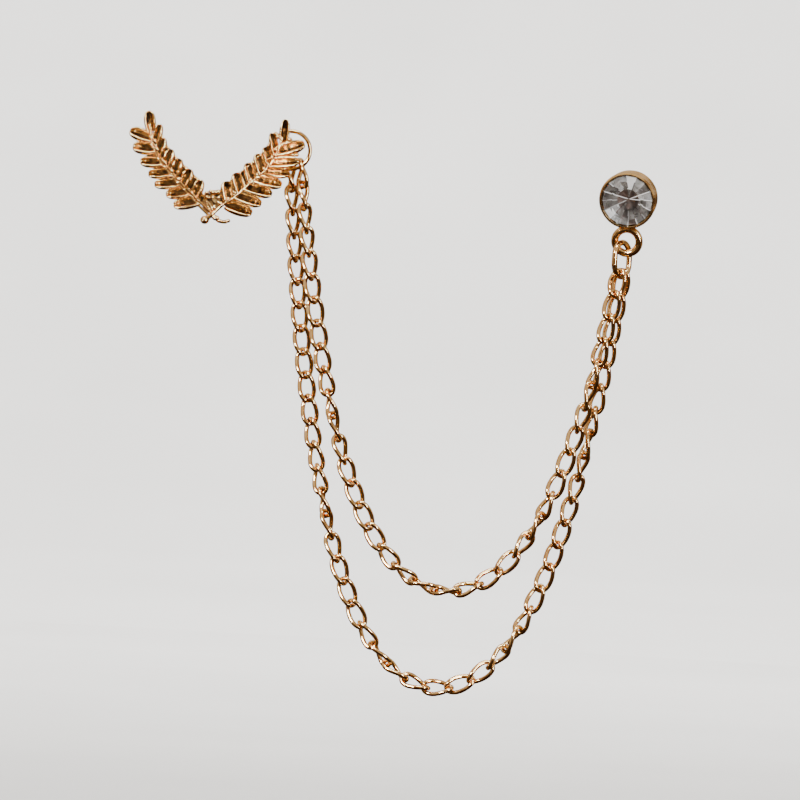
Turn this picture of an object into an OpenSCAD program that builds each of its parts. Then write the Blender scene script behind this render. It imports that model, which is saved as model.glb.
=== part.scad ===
// Lapel chain: a cast V-shaped leaf spray and a round crystal stud joined by two curb chains
// that hang in swags, one inside the other. Millimetres, +Z up, the wearer's front faces -Y.
// The cloth is the plane y = 0. The origin is the point where the spray pins on.

/* [Chain links] */
// Length of one link over its wire, mm
link_length = 5.3;  // [5.2:0.05:5.5]
// Width of one link over its wire, mm
link_width = 3.1;  // [3.05:0.05:3.3]
// Thickness of the link wire, mm
link_wire = 0.68;  // [0.5:0.02:0.68]
// Play of one link in the next, mm
link_play = 0.2;  // [0.2:0.02:0.3]
// Twist of a link from one end to the other, degrees
link_twist = 85;  // [75:1:88]
// How square the ends of a link are, 2 is an ellipse
link_fullness = 2.5;  // [2.3:0.1:2.7]
// Links in the outer strand
outer_links = 45;  // [44:1:47]
// Links in the inner strand
inner_links = 37;  // [36:1:39]

/* [Jump ring] */
// Mean radius of the jump ring, mm
ring_radius = 3.04;  // [3:0.01:3.1]
// Thickness of the jump ring's wire, mm
ring_wire = 0.64;  // [0.5:0.02:0.66]

/* [Leaf spray] */
// Breadth of the leaves against the photographed ones
leaf_breadth = 1.12;  // [0.9:0.01:1.15]
// Thickness of one leaf from keel to rim, mm
leaf_depth = 1.0;  // [0.7:0.05:1.1]
// Thickness of the stems at the crossing, mm
stem_width = 0.7;  // [0.6:0.02:0.9]
// Wire of the hidden eyelet behind the right tip, mm
eyelet_wire = 0.45;  // [0.3:0.01:0.46]

/* [Stud] */
// Widest diameter of the cup, mm
cup_diameter = 9.2;  // [8.8:0.1:9.6]
// Depth of the cup from rim to back, mm
cup_depth = 4;  // [3.8:0.1:4.2]
// Diameter of the crystal at its girdle, mm
stone_diameter = 8.1;  // [7.6:0.1:8.1]
// How far the stud faces to the left, degrees
stud_left = 11.5;  // [8:0.5:14]
// How far the stud faces down, degrees
stud_down = 12.7;  // [10:0.1:14]
// Thickness of the oval stud ring's wire, mm
oval_wire = 0.92;  // [0.8:0.02:0.94]

/* [Pins] */
// Thickness of both posts, mm
post_diameter = 1.1;  // [0.8:0.05:1.4]
// Length of both posts behind the cloth face, mm
post_length = 8;  // [5:0.5:10]

/* [Hidden] */
eps = 0.01;
fit_gap = 0.05;           // gap between a pin's pad and the piece it carries
seat_gap = 0.06;          // gap between the crystal and the cup round it
eyelet_play = 0.12;       // gap between the eyelet and the jump ring's wire
chain_steps = 12;         // sides along one link
wire_sides = 5;           // sides round one link's wire
round_steps = 72;         // facets drawn round the turned pieces
disc_steps = 48;          // facets round the pins' pads
rod_steps = 24;           // facets round the posts and the thick wires

gold = [0.86, 0.62, 0.45];
dark_gold = [0.62, 0.42, 0.3];
glass = [0.62, 0.62, 0.66];

// Vectors and small helpers
function unit(v) = v / norm(v);
function mix(a, b, t) = a + (b - a) * t;
function clamp01(t) = min(1, max(0, t));
function smooth(t) = let (c = clamp01(t)) c * c * (3 - 2 * c);
function sinh(x) = (exp(x) - exp(-x)) / 2;
function cosh(x) = (exp(x) + exp(-x)) / 2;
function asinh(x) = ln(x + sqrt(x * x + 1));
function power_of(v, p) = sign(v) * pow(abs(v), p);
// Value at k in a table of rows [k, value], straight between the rows
function row_value(rows, k, i = 0) =
    k <= rows[0][0] ? rows[0][1]
    : i >= len(rows) - 1 ? rows[len(rows) - 1][1]
    : k <= rows[i + 1][0]
      ? mix(rows[i][1], rows[i + 1][1], (k - rows[i][0]) / (rows[i + 1][0] - rows[i][0]))
    : row_value(rows, k, i + 1);
// Running totals of a list, from 0
function totals(v, i = 0, sum = 0) = i > len(v) ? [] : concat([sum], totals(v, i + 1,
    i < len(v) ? sum + v[i] : sum));

// Places of the two hanging rings
ring_centre = [12.3, -1.7, 9.34];
oval_centre = [66.15, -2.2, -5.22];
oval_size = [5.2, 6.4];
oval_turn = 55;
oval_arc = (oval_size[0] - oval_wire) / 2;
oval_straight = (oval_size[1] - oval_size[0]) / 2;
// Point of the jump ring's centreline, th degrees from straight down towards +X
function ring_point(th) = ring_centre + ring_radius * [sin(th), 0, -cos(th)];
// Point of the stud ring's lower arc, th degrees from straight down
function oval_point(th) = oval_centre + [oval_arc * sin(th) * cos(oval_turn),
    oval_arc * sin(th) * sin(oval_turn), -oval_straight - oval_arc * cos(th)];

// Where each strand hangs: [degrees round the jump ring, degrees round the stud ring,
// depth of the strand in the middle, mm]
outer_hang = [0, 15, -1.6];
inner_hang = [34, -15, -3.8];
left_lift = 0.64;  // the first link's hook above the jump ring's wire
right_lift = 0.6;  // the last link's hook above the stud ring's wire
left_ramp = 2;     // links over which a strand comes to its depth
right_ramp = 1.3;

// Roll of the links about the strand: [link, degrees]
outer_rolls = [[1, 100], [2, 122], [3, 130], [4, 140], [7, 163], [9, 180], [11, 200],
    [14, 225], [17, 325], [20, 368], [22, 440], [24, 488], [26, 525], [29, 630], [31, 700],
    [34, 728], [36, 760], [38, 815], [40, 862], [43, 885], [45, 897]];
inner_rolls = [[1, 70], [2, 108], [3, 124], [4, 132], [6, 160], [8, 188], [10, 215],
    [12, 285], [14, 335], [17, 362], [19, 422], [21, 458], [22, 484], [24, 548], [26, 626],
    [28, 700], [31, 765], [32, 790], [34, 865], [37, 897]];

// Hanging curve of given length between p and q in the XZ plane: [a, x0, z0]
function hang_u(t, lo, hi, n) = n == 0 ? lo
    : let (m = (lo + hi) / 2) sinh(m) / m < t ? hang_u(t, m, hi, n - 1) : hang_u(t, lo, m, n - 1);
function hang(p, q, length) =
    let (d = q[0] - p[0],
         h = q[2] - p[2],
         u = hang_u(sqrt(length * length - h * h) / d, 0.000001, 20, 60),
         a = d / (2 * u),
         x0 = (p[0] + q[0]) / 2 - a * asinh(h / (2 * a * sinh(u))))
    [a, x0, p[2] - a * cosh((p[0] - x0) / a)];
link_pitch = link_length - 2 * link_wire - link_play;
// Hooking points of a strand of n links, n + 1 of them, hung between start and end
function hooks(start, end, n, depth) =
    let (y = [for (i = [0 : n]) i < n / 2
             ? mix(start[1], depth, smooth(i / left_ramp))
             : mix(end[1], depth, smooth((n - i) / right_ramp))],
         s = totals([for (i = [0 : n - 1]) sqrt(pow(link_pitch, 2) - pow(y[i + 1] - y[i], 2))]),
         c = hang(start, end, s[n]),
         s0 = c[0] * sinh((start[0] - c[1]) / c[0]),
         x = [for (v = s) c[1] + c[0] * asinh((s0 + v) / c[0])])
    [for (i = [0 : n]) [x[i], y[i], c[2] + c[0] * cosh((x[i] - c[1]) / c[0])]];

// Rings of points round the wire of one link between the hooks p and q
function link_rings(p, q, roll) =
    let (along = unit(q - p),
         front = unit([0, -1, 0] - along * (along * [0, -1, 0])),
         side = cross(front, along),
         half_l = (link_length - link_wire) / 2,
         half_w = (link_width - link_wire) / 2,
         turn = [for (i = [0 : chain_steps - 1]) 360 * i / chain_steps],
         u = [for (t = turn) half_l * power_of(cos(t), 2 / link_fullness)],
         w = [for (t = turn) half_w * power_of(sin(t), 2 / link_fullness)],
         angle = [for (v = u) roll - link_twist * v / (2 * half_l)],
         spine = [for (i = [0 : chain_steps - 1]) (p + q) / 2 + u[i] * along
             + w[i] * (cos(angle[i]) * side + sin(angle[i]) * front)])
    [for (i = [0 : chain_steps - 1])
        let (t = unit(spine[(i + 1) % chain_steps] - spine[(i + chain_steps - 1) % chain_steps]),
             face = cos(angle[i]) * front - sin(angle[i]) * side,
             e1 = unit(face - t * (t * face)),
             e2 = cross(t, e1))
        [for (k = [0 : wire_sides - 1]) spine[i]
            + link_wire / 2 * (cos(360 * k / wire_sides) * e1 + sin(360 * k / wire_sides) * e2)]];
// Triangles of closed rings of points, n rings of m points, the last joined to the first
function loop_faces(n, m, first) = [for (i = [0 : n - 1]) for (k = [0 : m - 1])
    let (a = first + i * m + k, b = first + i * m + (k + 1) % m,
         c = first + (i + 1) % n * m + k, d = first + (i + 1) % n * m + (k + 1) % m)
    each [[a, d, b], [a, c, d]]];

module strand(start, end, n, depth, rolls) {
    at = hooks(start, end, n, depth);
    rings = [for (i = [0 : n - 1]) each link_rings(at[i], at[i + 1], row_value(rolls, i + 1))];
    polyhedron(points = [for (r = rings) each r],
        faces = [for (i = [0 : n - 1])
            each loop_faces(chain_steps, wire_sides, i * chain_steps * wire_sides)]);
}

module outer_chain() {
    color(gold) strand(ring_point(outer_hang[0]) + [0, 0, left_lift],
        oval_point(outer_hang[1]) + [0, 0, right_lift], outer_links, outer_hang[2], outer_rolls);
}

module inner_chain() {
    color(gold) strand(ring_point(inner_hang[0]) + [0, 0, left_lift],
        oval_point(inner_hang[1]) + [0, 0, right_lift], inner_links, inner_hang[2], inner_rolls);
}

module jump_ring() {
    color(gold) translate(ring_centre) rotate([90, 0, 0]) rotate_extrude($fn = round_steps)
        translate([ring_radius, 0]) circle(d = ring_wire, $fn = rod_steps);
}

module stud_ring() {
    color(gold) translate(oval_centre) rotate([0, 0, oval_turn]) rotate([90, 0, 0]) {
        for (top = [0, 1]) rotate([0, 0, top * 180]) {
            translate([0, oval_straight, 0]) rotate_extrude(angle = 180, $fn = round_steps)
                translate([oval_arc, 0]) circle(d = oval_wire, $fn = rod_steps);
            translate([oval_arc, -oval_straight, 0]) rotate([-90, 0, 0])
                cylinder(d = oval_wire, h = 2 * oval_straight, $fn = rod_steps);
        }
    }
}

// Leaf spray
back_y = -2.3;        // back of the leaves
stem_y = -3.1;        // centre of the stems
boss_back = -1.25;    // back of the boss that the pin's pad carries
boss_radius = 1.45;

// Stems, from the crossing to the tip: [x, z]
left_stem = [[0.18, -1.83], [-1.75, -0.18], [-3.44, 1.41], [-5.13, 2.92], [-6.84, 4.75],
    [-8.54, 6.57], [-9.43, 8.13], [-10.01, 10.02], [-10.54, 12.23]];
right_stem = [[0.18, -1.83], [1.93, -0.05], [3.62, 1.16], [5.59, 3.12], [6.96, 4.48],
    [8.48, 5.92], [9.37, 7.17], [10.23, 9.07], [10.85, 11.2]];
// Cut ends of the two stems below the crossing, and corners of the web above it: [x, z]
knob_stem = [[0.4, -1.6], [-0.45, -2.25], [-1.05, -2.8]];
tail_stem = [[-0.1, -1.55], [0.75, -2.3], [1.7, -2.72], [2.6, -2.72]];
web_corners = [[-1.3, 0.6], [1.4, 0.8], [0.16, -1.35], [-0.7, 1.9], [1.2, 1.9]];
web_rounding = 0.5;  // diameter of the web's corners, mm
web_depth = 0.7;     // thickness of the web, mm
// Leaves: [x and z of the base, x and z of the tip, width, how far the tip stands forward]
left_inner = [[-2.62, 0.98, -1.74, 3.83, 1.60, 0.15], [-4.49, 2.95, -3.51, 5.41, 1.60, 0.1],
    [-6.17, 4.30, -5.28, 7.00, 1.52, 0], [-7.53, 5.67, -6.75, 8.44, 1.52, 0],
    [-8.91, 7.51, -8.05, 10.21, 1.52, 0], [-9.35, 9.57, -8.81, 12.33, 1.36, 0]];
left_outer = [[-2.26, 0.27, -6.06, -0.58, 1.76, 0], [-3.94, 1.62, -7.35, 1.11, 1.68, 0],
    [-5.69, 2.97, -9.28, 2.61, 1.60, 0], [-7.15, 4.57, -10.33, 4.23, 1.60, 0],
    [-8.52, 6.25, -11.72, 6.16, 1.76, 0], [-9.76, 8.27, -13.05, 8.48, 1.92, 0],
    [-10.33, 10.00, -13.7, 11.00, 1.92, 0]];
right_inner = [[2.84, 0.80, 2.19, 3.81, 1.92, 0.15], [4.51, 2.42, 3.63, 5.25, 1.76, 0.1],
    [6.34, 4.04, 5.46, 6.96, 1.68, 0], [7.86, 5.65, 6.90, 8.48, 1.68, 0],
    [9.06, 7.08, 8.16, 9.67, 1.44, 0], [9.93, 8.73, 9.03, 11.96, 1.28, 0]];
right_outer = [[2.73, -0.09, 6.71, -1.15, 1.92, 0], [4.25, 1.44, 8.15, 0.38, 1.76, 0],
    [5.77, 2.89, 9.74, 2.07, 1.84, 0.15], [7.29, 4.33, 11.26, 3.59, 1.84, 0.6],
    [8.66, 5.69, 12.42, 5.43, 1.60, 1.3], [8.74, 6.98, 13.84, 7.50, 1.76, 1.4],
    [10.39, 8.99, 14.56, 10.43, 1.92, 0.5]];
tip_leaves = [[-10.26, 11.5, -10.77, 14.38, 1.7, 0.1], [11.01, 10.6, 11.22, 14.25, 1.5, 0]];
// Half outline of a leaf from base to tip: [place along 0..1, half width]
leaf_outline = [[0.08, 0.55], [0.34, 0.94], [0.68, 0.98], [0.92, 0.55]];
// Section of a leaf, half width 1, keel 0 to rim 1: [across, height]
leaf_section = [[0, 0], [-0.98, 0.55], [-0.82, 1], [-0.36, 0.4], [0.36, 0.4], [0.82, 1],
    [0.98, 0.55]];
leaf_root = 0.45;  // length of a leaf that runs in under the stem, mm
leaf_bank = 0.28;  // the rim nearer the crossing stands this much higher, mm

// Steps of a path of [x, z] points
function path_step(path) = [for (i = [0 : len(path) - 2]) norm(path[i + 1] - path[i])];

// One scooped leaf from a row of the tables; bank is +1 or -1, the side of its higher rim
module leaf(row, bank) {
    m = len(leaf_section);
    n = len(leaf_outline);
    flat = unit([row[2] - row[0], 0, row[3] - row[1]]);
    base = [row[0], back_y, row[1]] - flat * leaf_root;
    reach = [row[2], back_y - row[5], row[3]] - base;
    across = [-flat[2], 0, flat[0]];
    rings = [for (at = leaf_outline) for (q = leaf_section)
        base + reach * at[0] + across * q[0] * at[1] * row[4] * leaf_breadth / 2
            - [0, leaf_depth * (q[1] * (0.5 + 0.5 * at[1]) + 0.2 * (1 - at[1]))
                + leaf_bank * q[0] * bank * q[1] * at[1], 0]];
    ends = [base - [0, leaf_depth * 0.5, 0], base + reach - [0, leaf_depth * 0.55, 0]];
    polyhedron(points = concat(rings, ends),
        faces = concat(
            [for (i = [0 : n - 2]) for (k = [0 : m - 1])
                let (a = i * m + k, b = i * m + (k + 1) % m, c = a + m, d = b + m)
                each [[a, b, d], [a, d, c]]],
            [for (k = [0 : m - 1]) [(k + 1) % m, k, n * m]],
            [for (k = [0 : m - 1]) [(n - 1) * m + k, (n - 1) * m + (k + 1) % m, n * m + 1]]));
}

// A tapering rod through [x, z] points at depth y, with a flattened six-sided section
module stem(path, y0, y1, wide0, wide1) {
    last = len(path) - 1;
    run = totals(path_step(path));
    m = 6;
    rings = [for (i = [0 : last])
        let (t = run[i] / run[last],
             a = path[max(0, i - 1)],
             b = path[min(last, i + 1)],
             dir = unit(b - a),
             wide = mix(wide0, wide1, t))
        for (k = [0 : m - 1])
            let (c = wide / 2 * cos(60 * k), d = wide * 0.6 * sin(60 * k))
            [path[i][0] - dir[1] * c, mix(y0, y1, t) - d, path[i][1] + dir[0] * c]];
    polyhedron(points = rings,
        faces = concat(
            [for (i = [0 : last - 1]) for (k = [0 : m - 1])
                let (a = i * m + k, b = i * m + (k + 1) % m, c = a + m, d = b + m)
                each [[a, d, b], [a, c, d]]],
            [[for (k = [0 : m - 1]) k]],
            [[for (k = [m - 1 : -1 : 0]) last * m + k]]));
}

// A bud: a short rounded grain from p to q, [x, z] each, at depth y
module bud(p, q, y, size) {
    hull() for (at = [p, q]) translate([at[0], y, at[1]]) sphere(d = size, $fn = 6);
}

// Grains at the crossing's tail, in the web and between the leaves:
// [x and z of one end, x and z of the other, y, size]
grains = [[0.69, -2.29, 1.16, -2.18, -3.2, 0.66], [1.51, -2.69, 1.83, -2.72, -3.1, 0.62],
    [2.24, -2.76, 2.95, -2.56, -3.1, 0.62], [12.5, 8.55, 13.3, 8.6, -3.3, 0.7],
    [12.7, 7.92, 13.59, 7.81, -3.5, 0.66], [11.13, 10.24, 12.05, 10.93, -2.9, 0.8],
    [11.08, 8.15, 12.05, 8.05, -3.2, 0.8], [9.76, 11.76, 10.1, 11.3, -3, 0.7],
    [0.22, 1.85, 1.09, 1.98, -3.1, 0.8], [-0.7, 1.08, 1.22, 1.11, -3, 0.6]];

module laurel_spray() {
    eye_turn = -15;  // place of the eyelet round the jump ring from its top, degrees
    eye_radius = ring_wire / 2 + eyelet_wire / 2 + eyelet_play;
    eye = ring_centre + ring_radius * [sin(eye_turn), 0, cos(eye_turn)];
    color(gold) {
        stem(left_stem, stem_y + 0.25, stem_y + 0.2, stem_width, stem_width * 0.55);
        stem(right_stem, stem_y - 0.15, stem_y + 0.1, stem_width, stem_width * 0.6);
        // Cut ends of the two stems below the crossing
        stem(knob_stem, stem_y - 0.15, stem_y, 0.8, 1.2);
        stem(tail_stem, stem_y + 0.25, stem_y + 0.15, 0.6, 0.36);
        for (row = left_inner) leaf(row, -1);
        for (row = left_outer) leaf(row, 1);
        for (row = right_inner) leaf(row, 1);
        for (row = right_outer) leaf(row, -1);
        for (row = tip_leaves) leaf(row, 0);
        for (row = grains)
            bud([row[0], row[1]], [row[2], row[3]], row[4], row[5]);
        // Web between the stems, and the boss behind it
        hull() for (p = web_corners)
            translate([p[0], stem_y + web_depth / 2, p[1]]) rotate([90, 0, 0])
                cylinder(d = web_rounding, h = web_depth, center = true, $fn = 6);
        translate([0, boss_back, 0]) rotate([90, 0, 0])
            cylinder(r = boss_radius, h = boss_back - stem_y - 0.1, $fn = 16);
        // Eyelet behind the right tip leaf
        translate(eye) rotate([0, 90 + eye_turn, 0]) rotate_extrude($fn = 12)
            translate([eye_radius, 0]) circle(d = eyelet_wire, $fn = 6);
    }
}

module laurel_pin() {
    color(dark_gold) rotate([90, 0, 0]) {
        cylinder(r = boss_radius, h = -boss_back - fit_gap, $fn = disc_steps);
        translate([0, 0, -post_length]) cylinder(d = post_diameter, h = post_length + eps, $fn = rod_steps);
    }
}

// Stud. Its own axes: +Z out of the face, +Y up; the rim's front is z = 0
stud_face = [66.28, -5.6, 4.03];
cup_r = cup_diameter / 2;
stone_r = stone_diameter / 2;
seat_r = stone_r + seat_gap;
loop_radius = 1.97;
loop_wire = 1.2;
loop_place = [-0.18, -6.87, -2];
solder_length = 1.3;
solder_diameter = 0.9 * loop_wire;
pad_radius = 2.2;
pad_depth = 0.6;
module in_stud_axes() {
    translate(stud_face) rotate([90 + stud_down, 0, -stud_left]) children();
}

// Half section of the cup: outside from the back to the rim, then the inside down to its floor
function cup_section() = [[0, -cup_depth], [cup_r - 0.6, -cup_depth], [cup_r - 0.18, -cup_depth + 0.25],
    [cup_r - 0.42, -1.9], [cup_r - 0.5, -1.25], [cup_r - 0.15, -1.05], [cup_r, -0.75], [cup_r, -0.45],
    [cup_r - 0.16, -0.2], [cup_r - 0.3, 0.02], [seat_r, 0.02], [seat_r, -0.62],
    [0.45, -3.2], [0, -3.2]];

module stud_cup() {
    color(gold) in_stud_axes() {
        rotate_extrude($fn = round_steps) polygon(cup_section());
        // Loop under the cup, with the solder that joins it
        translate(loop_place) rotate_extrude($fn = round_steps)
            translate([loop_radius, 0]) circle(d = loop_wire, $fn = rod_steps);
        translate(loop_place + [0, loop_radius, 0]) rotate([-90, 0, 0])
            cylinder(d = solder_diameter, h = solder_length, $fn = rod_steps);
    }
}

// Crystal: table, stars, kites, upper girdle, girdle, lower girdle and eight main back facets
table_r = 2.45;
table_z = 0.62;
girdle_z = [-0.1, -0.3];
culet_z = -2.7;
star_r = 3.15;
back_r = 2.3;
kite_slope = (girdle_z[0] - table_z) / (stone_r - table_r);
main_slope = (girdle_z[1] - culet_z) / stone_r;
function ring_of(n, r, z, turn) = [for (k = [0 : n - 1]) [r * cos(360 * k / n + turn),
    r * sin(360 * k / n + turn), z]];
function stone_points() = concat(
    ring_of(8, table_r, table_z, 22.5),
    ring_of(8, star_r, table_z + kite_slope * (star_r * cos(22.5) - table_r), 0),
    ring_of(16, stone_r, girdle_z[0], 0),
    ring_of(16, stone_r, girdle_z[1], 0),
    ring_of(8, back_r, culet_z + main_slope * back_r * cos(22.5), 0),
    [[0, 0, culet_z]]);
function stone_faces() = let (st = 8, up = 16, low = 32, bk = 48, cu = 56) concat(
    [[for (k = [7 : -1 : 0]) k]],
    [for (k = [0 : 7]) let (n = (k + 1) % 8) each [
        [k, n, st + n],
        [st + k, k, up + 2 * k + 1],
        [k, st + n, up + 2 * k + 1],
        [st + k, up + 2 * k + 1, up + 2 * k],
        [st + n, up + 2 * n, up + 2 * k + 1],
        [low + 2 * k, low + 2 * k + 1, bk + k],
        [low + 2 * k + 1, low + 2 * n, bk + n],
        [bk + k, low + 2 * k + 1, cu],
        [low + 2 * k + 1, bk + n, cu]]],
    [for (k = [0 : 15]) let (n = (k + 1) % 16) each [
        [up + k, up + n, low + n],
        [up + k, low + n, low + k]]]);

module crystal() {
    color(glass) in_stud_axes() polyhedron(points = stone_points(), faces = stone_faces());
}

module stud_pin() {
    color(dark_gold) in_stud_axes() translate([0, 0, -cup_depth - fit_gap]) rotate([180, 0, 0]) {
        cylinder(r = pad_radius, h = pad_depth, $fn = disc_steps);
        cylinder(d = post_diameter, h = pad_depth + post_length, $fn = rod_steps);
    }
}

laurel_spray();
laurel_pin();
jump_ring();
outer_chain();
inner_chain();
stud_ring();
stud_cup();
crystal();
stud_pin();
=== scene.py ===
import math

import bmesh
import bpy
import numpy as np
from mathutils import Matrix, Vector


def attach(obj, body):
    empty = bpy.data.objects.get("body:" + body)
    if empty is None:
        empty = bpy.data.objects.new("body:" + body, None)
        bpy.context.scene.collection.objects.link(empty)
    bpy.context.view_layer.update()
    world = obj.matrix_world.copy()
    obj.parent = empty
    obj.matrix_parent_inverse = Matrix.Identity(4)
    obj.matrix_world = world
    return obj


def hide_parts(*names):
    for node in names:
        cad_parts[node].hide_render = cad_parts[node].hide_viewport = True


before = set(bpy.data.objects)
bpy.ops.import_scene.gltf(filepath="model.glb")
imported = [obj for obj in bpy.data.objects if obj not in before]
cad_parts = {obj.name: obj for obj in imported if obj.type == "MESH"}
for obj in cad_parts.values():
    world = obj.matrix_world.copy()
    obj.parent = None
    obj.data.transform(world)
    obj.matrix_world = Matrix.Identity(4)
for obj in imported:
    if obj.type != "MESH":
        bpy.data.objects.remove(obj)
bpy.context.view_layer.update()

MM = 0.001  # everything below is worked out in millimetres, as the solids are
random = np.random.default_rng(7)

# Sizes of the chain, in mm and degrees
LINK_LENGTH = 5.3
LINK_WIDTH = 3.1
LINK_WIRE = 0.72
LINK_SLIM = 0.045  # how far a link's sides keep inside the solid one's
LINK_HOOK = 3.74  # distance between hooking points
LINK_TWIST = 85
LINK_FULLNESS = 2.5
OUTER_LINKS = 45
INNER_LINKS = 37
LINK_STEPS = 60
WIRE_SIDES = 14
LINK_SEAM = 62  # degrees round the link to where its wire closes, or half a turn further
LINK_GAP = 0.05  # between the ends of the wire
LINK_HALF_LENGTH = (LINK_LENGTH - LINK_WIRE) / 2  # to the middle of the wire
LINK_HALF_WIDTH = (LINK_WIDTH - LINK_WIRE) / 2 - LINK_SLIM

# Rings: the round jump ring, and the oval one on the stud. A seam is where the wire closes, with
# half the gap between its ends, in degrees.
RING_CENTRE = np.array([12.3, -1.7, 9.34])
RING_RADIUS = 3.04
RING_WIRE = 0.64
RING_SEAM = (-59, 0.5)
RING_STEPS = 140
OVAL_CENTRE = np.array([66.15, -2.2, -5.22])
OVAL_SIZE = (5.2, 6.4)
OVAL_WIRE = 0.92
OVAL_TURN = 55
OVAL_SEAM = (8, 0.7)
OVAL_STEPS = 160
OVAL_ARC = (OVAL_SIZE[0] - OVAL_WIRE) / 2  # radius of its ends
OVAL_STRAIGHT = (OVAL_SIZE[1] - OVAL_SIZE[0]) / 2  # half the length of its straight sides
OVAL_EASE = 6  # how soon the ends turn into the sides
RING_SIDES = 24

# Strands: degrees round the jump ring, degrees round the oval ring, y in the middle
OUTER_HANG = (0, 15, -1.6)
INNER_HANG = (34, -15, -3.8)
LEFT_LIFT = 0.64  # from the jump ring's wire up to the first hooking point
RIGHT_LIFT = 0.6  # from the oval ring's wire up to the last one
LEFT_RAMP = 2  # links over which a strand comes to its depth from the jump ring
RIGHT_RAMP = 1.3  # and from the oval ring
HANG_ROUNDS = 60  # halvings by which the hanging curve is found

# Roll of the links about the strand: (link, degrees)
OUTER_ROLLS = [
    (1, 100), (2, 122), (3, 130), (4, 140), (7, 163), (9, 180), (11, 200), (14, 225),
    (17, 325), (20, 368), (22, 440), (24, 488), (26, 525), (29, 630), (31, 700),
    (34, 728), (36, 760), (38, 815), (40, 862), (43, 885), (45, 897),
]
INNER_ROLLS = [
    (1, 70), (2, 108), (3, 124), (4, 132), (6, 160), (8, 188), (10, 215), (12, 285),
    (14, 335), (17, 362), (19, 422), (21, 458), (22, 484), (24, 548), (26, 626),
    (28, 700), (31, 765), (32, 790), (34, 865), (37, 897),
]

# Leaf spray: (x and z of the base, x and z of the tip, width, how far the tip stands forward)
LEFT_INNER = [
    (-2.62, 0.98, -1.74, 3.83, 1.60, 0.15), (-4.49, 2.95, -3.51, 5.41, 1.60, 0.1),
    (-6.17, 4.30, -5.28, 7.00, 1.52, 0), (-7.53, 5.67, -6.75, 8.44, 1.52, 0),
    (-8.91, 7.51, -8.05, 10.21, 1.52, 0), (-9.35, 9.57, -8.81, 12.33, 1.36, 0),
]
LEFT_OUTER = [
    (-2.26, 0.27, -6.06, -0.58, 1.76, 0), (-3.94, 1.62, -7.35, 1.11, 1.68, 0),
    (-5.69, 2.97, -9.28, 2.61, 1.60, 0), (-7.15, 4.57, -10.33, 4.23, 1.60, 0),
    (-8.52, 6.25, -11.72, 6.16, 1.76, 0), (-9.76, 8.27, -13.05, 8.48, 1.92, 0),
    (-10.33, 10.00, -13.67, 11.00, 1.92, 0),
]
RIGHT_INNER = [
    (2.84, 0.80, 2.19, 3.81, 1.92, 0.15), (4.51, 2.42, 3.63, 5.25, 1.76, 0.1),
    (6.34, 4.04, 5.46, 6.96, 1.68, 0), (7.86, 5.65, 6.90, 8.48, 1.68, 0),
    (9.06, 7.08, 8.16, 9.67, 1.44, 0), (9.93, 8.73, 9.03, 11.96, 1.28, 0),
]
RIGHT_OUTER = [
    (2.73, -0.09, 6.71, -1.15, 1.92, 0), (4.25, 1.44, 8.15, 0.38, 1.76, 0),
    (5.77, 2.89, 9.74, 2.07, 1.84, 0.15), (7.29, 4.33, 11.26, 3.59, 1.84, 0.6),
    (8.66, 5.69, 12.42, 5.43, 1.60, 1.3), (8.74, 6.98, 13.84, 7.50, 1.76, 1.4),
    (10.39, 8.99, 14.56, 10.43, 1.92, 0.5),
]
TIP_LEAVES = [
    (-10.26, 11.5, -10.77, 14.38, 1.7, 0.1), (11.01, 10.6, 11.22, 14.25, 1.5, 0),
]
LEFT_STEM = [
    (0.18, -1.83), (-1.75, -0.18), (-3.44, 1.41), (-5.13, 2.92), (-6.84, 4.75),
    (-8.54, 6.57), (-9.43, 8.13), (-10.01, 10.02), (-10.54, 12.23),
]
RIGHT_STEM = [
    (0.18, -1.83), (1.93, -0.05), (3.62, 1.16), (5.59, 3.12), (6.96, 4.48),
    (8.48, 5.92), (9.37, 7.17), (10.23, 9.07), (10.85, 11.2),
]
LEAF_BREADTH = 1.12  # of the width given in the tables
LEAF_DEPTH = 1.0
LEAF_ROOT = 0.45  # how far a leaf runs on under its stem
BACK_Y = -2.3
STEM_Y = -3.1
BOSS_BACK = -1.25
BOSS_RADIUS = 1.45
BOSS_SIDES = 48
BOSS_SUNK = 0.25  # how far its front ends behind the stems' middle
BUD_STEPS = 3  # small beads beside a stem, between two points of its path
BUD_OFFSET = 0.34
BUD_RISE = BUD_OFFSET * 0.4
BUD_SIZES = (0.46, 0.3)  # the least size, and how much is added at most
BUD_STRETCH = (1, 0.9, 1.2)
EYELET_PLACE = -15  # degrees round the jump ring from its top
EYELET_WIRE = 0.45
EYELET_PLAY = 0.12  # round the jump ring's wire
EYELET_STEPS = 36
EYELET_SIDES = 12

# Stud, in its own axes: +Z out of the face, +Y up. The face's middle is given on the part, and
# the degrees by which it looks left and down.
STUD_FACE = np.array([66.28, -5.6, 4.03])
STUD_LEFT = 11.5
STUD_DOWN = 12.7
STONE_RADIUS = 4.05
LOOP_PLACE = np.array([-0.18, -6.87, -2.0])
LOOP_RADIUS = 1.97
LOOP_WIRE = 1.2


# Vectors and curves
def unit(v):
    v = np.asarray(v, float)
    return v / np.linalg.norm(v, axis=-1, keepdims=True)


def smooth(t):
    t = np.clip(t, 0, 1)
    return t * t * (3 - 2 * t)


def power_of(v, p):
    return np.sign(v) * np.abs(v) ** p


def full_turn(n):
    """n angles evenly round a circle."""
    return 2 * np.pi * np.arange(n) / n


def open_turn(seam, half_gap, n):
    """n angles in radians from one side of a ring's seam round to the other."""
    return np.radians(np.linspace(seam + half_gap, seam + 360 - half_gap, n))


def level_ring(t, radius, z):
    """Points of a circle about Z, at the angles t."""
    return np.stack([radius * np.cos(t), radius * np.sin(t), np.full(len(t), z)], 1)


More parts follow.
